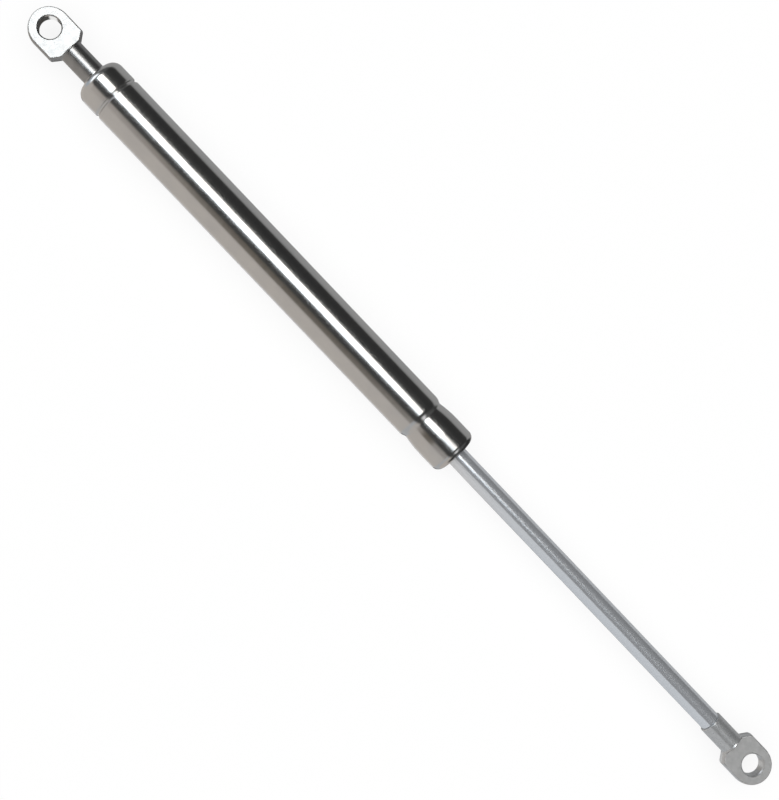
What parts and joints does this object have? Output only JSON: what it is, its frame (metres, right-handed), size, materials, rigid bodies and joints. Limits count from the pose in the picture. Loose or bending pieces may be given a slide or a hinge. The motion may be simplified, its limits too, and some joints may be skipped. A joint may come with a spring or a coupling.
{
  "type": "gas strut stay",
  "caption": "Slim stainless gas strut: a rod slides into and spins in a rolled-end pressure tube, with a flat eye fitting at each end for a pin.",
  "frame": {"origin": "centre of the hole in the tube eye, on the strut's own axis", "axes": "+X along the strut from the tube eye to the rod eye, +Z along both eye holes at rest"},
  "size_m": [0.393, 0.019, 0.019],
  "materials": {
    "polished_stainless": "polished stainless tube with fine drawn streaks",
    "bright_stainless": "milled and lightly polished",
    "tumbled_stainless": "tumbled matt",
    "ground_stainless": "ground and polished",
    "machined_stainless": "turned",
    "spring_wire": "drawn wire",
    "turned_aluminium": "turned",
    "bearing_bronze": "sintered",
    "black_rubber": "moulded matt",
    "white_ptfe": "turned, waxy"
  },
  "bodies": {
    "tube": {"pressure_tube": "polished_stainless", "end_plug": "machined_stainless", "end_plug_o_ring": "black_rubber", "tube_eye": "bright_stainless", "support_disc": "machined_stainless", "rod_seal": "black_rubber", "seal_garter_spring": "spring_wire", "seal_backup_ring": "white_ptfe", "guide_housing": "turned_aluminium", "guide_bush": "bearing_bronze", "guide_o_ring": "black_rubber", "rod_wiper": "black_rubber", "wiper_cover": "machined_stainless"},
    "ring": {"piston_ring": "white_ptfe"},
    "rod": {"piston_rod": "ground_stainless", "piston": "turned_aluminium", "piston_front_washer": "machined_stainless", "metering_disc": "machined_stainless", "piston_rear_washer": "machined_stainless", "rod_eye": "tumbled_stainless"}
  },
  "joints": [
    {"name": "rod_slide", "type": "slide", "parent": "tube", "child": "ring", "axis": [-1, 0, 0], "range_m": [0, 0.13], "stiffness_N_per_m": 346, "springref_m": -0.434},
    {"name": "rod_spin", "type": "hinge", "parent": "ring", "child": "rod", "pos_m": [0.2, 0, 0], "axis": [1, 0, 0], "continuous": true}
  ]
}
